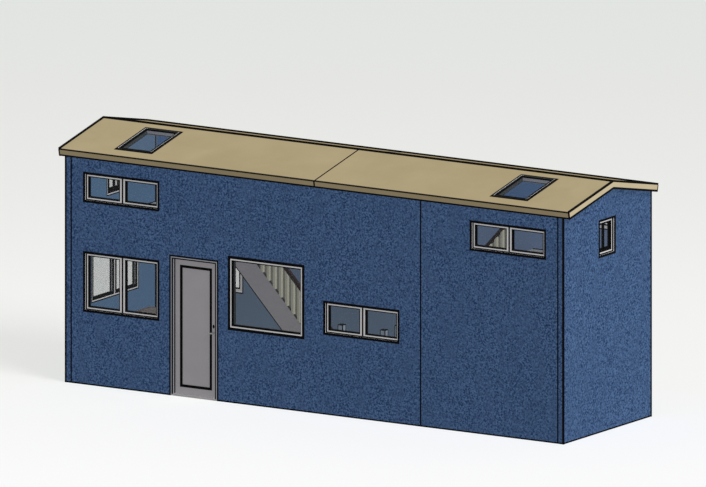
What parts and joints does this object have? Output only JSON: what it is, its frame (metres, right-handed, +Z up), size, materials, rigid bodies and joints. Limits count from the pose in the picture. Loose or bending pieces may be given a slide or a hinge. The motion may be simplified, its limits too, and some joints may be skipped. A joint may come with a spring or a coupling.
{
  "type": "modular house",
  "caption": "Long narrow two-storey modular house with a low gable roof, entrance door that opens, strip windows, roof windows, lofts and stairs inside.",
  "frame": {"origin": "on the ground, under the middle of the house's length and depth", "axes": "+X along the length to the right as seen from the entrance side, +Y from the entrance side to the back, +Z up"},
  "size_m": [8.75, 2.4408, 3.7021],
  "materials": {
    "wall_render": "satin",
    "roof_sheet": "satin",
    "window_frame": "satin",
    "glass": "polished",
    "seal": "matte",
    "door_paint": "satin",
    "door_frame_paint": "satin",
    "door_metal": "brushed",
    "sill_metal": "brushed",
    "floor_board": "satin",
    "loft_board": "satin",
    "stair_paint": "satin",
    "tread_board": "satin",
    "baluster_paint": "satin",
    "handrail_wood": "satin",
    "table_wood": "satin"
  },
  "bodies": {
    "house": {"floor": "floor_board", "loft_left": "loft_board", "loft_right": "loft_board", "front_wall_left": "wall_render", "front_wall_over_door": "wall_render", "front_wall_middle": "wall_render", "front_wall_right": "wall_render", "back_wall_left": "wall_render", "back_wall_right": "wall_render", "end_wall_left": "wall_render", "end_wall_right": "wall_render", "front_window_frame_upper_left": "window_frame", "front_window_frame_lower_left": "window_frame", "front_window_frame_large": "window_frame", "front_window_frame_small": "window_frame", "front_window_frame_upper_right": "window_frame", "back_window_frames": "window_frame", "left_end_window_frames": "window_frame", "right_end_window_frame": "window_frame", "front_window_glass": "glass", "back_window_glass": "glass", "end_window_glass": "glass", "skylight_glass": "glass", "roof_front_left": "roof_sheet", "roof_front_right": "roof_sheet", "roof_back_left": "roof_sheet", "roof_back_right": "roof_sheet", "skylight_frames": "window_frame", "door_jambs": "door_frame_paint", "door_head": "door_frame_paint", "door_sill": "sill_metal", "door_hinges_fixed": "door_metal", "stair_stringers": "stair_paint", "stair_treads": "tread_board", "stair_balusters": "baluster_paint", "stair_handrails": "handrail_wood", "stair_newels": "baluster_paint", "table_top": "table_wood", "table_legs": "table_wood"},
    "door": {"door_leaf": "door_paint", "door_panel": "door_paint", "door_seals": "seal", "door_lock_plates": "door_metal", "door_hinges_moving": "door_metal"},
    "lever": {"door_lever": "door_metal"}
  },
  "joints": [
    {"name": "door_swing", "type": "hinge", "parent": "house", "child": "door", "pos_m": [-2.449, -1.092, 0], "axis": [0, 0, 1], "range_deg": [0, 100]},
    {"name": "lever_turn", "type": "hinge", "parent": "door", "child": "lever", "pos_m": [-1.765, -1.138, 0.985], "axis": [0, -1, 0], "range_deg": [0, 40], "stiffness_Nm_per_rad": 2, "springref_deg": -22.92}
  ]
}
